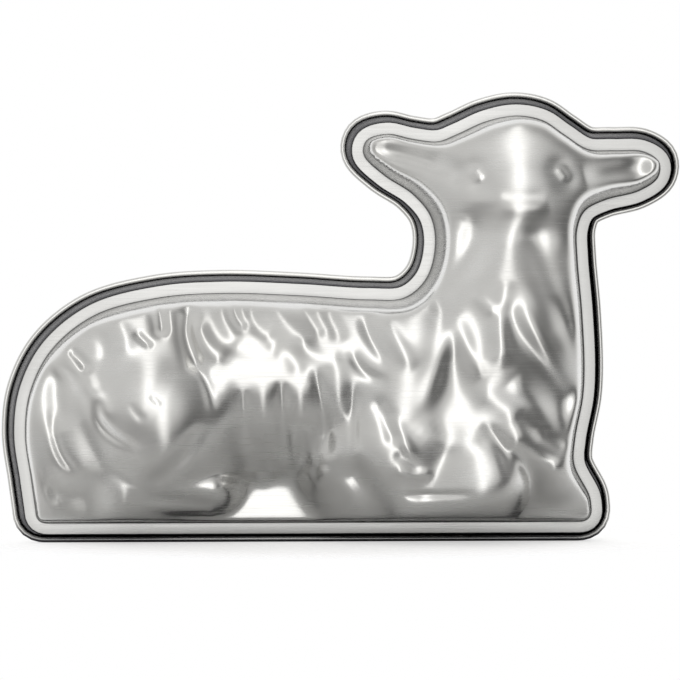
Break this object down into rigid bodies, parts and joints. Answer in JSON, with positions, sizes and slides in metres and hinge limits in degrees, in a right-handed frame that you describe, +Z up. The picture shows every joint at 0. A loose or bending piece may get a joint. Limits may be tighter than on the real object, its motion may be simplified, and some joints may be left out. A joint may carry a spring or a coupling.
{
  "type": "lamb cake mould",
  "caption": "Pressed aluminium baking mould in the shape of a lying lamb, with a front and a back half that nest at a rolled rim.",
  "frame": {"origin": "middle of the mould's length and depth, at the foot of the rim that it stands on", "axes": "+X along the lamb towards its head, +Z up, the front half with the face towards -Y"},
  "size_m": [0.2692, 0.0942, 0.178],
  "materials": {
    "front_aluminium": "bright rolled sheet with fine lengthwise lines",
    "back_aluminium": "bright rolled sheet with fine lengthwise lines"
  },
  "bodies": {
    "back": {"back_half": "back_aluminium"},
    "front": {"front_half": "front_aluminium"}
  },
  "joints": [
    {"name": "front_lift_off", "type": "slide", "parent": "back", "child": "front", "axis": [0, -1, 0], "range_m": [0, 0.13]}
  ]
}
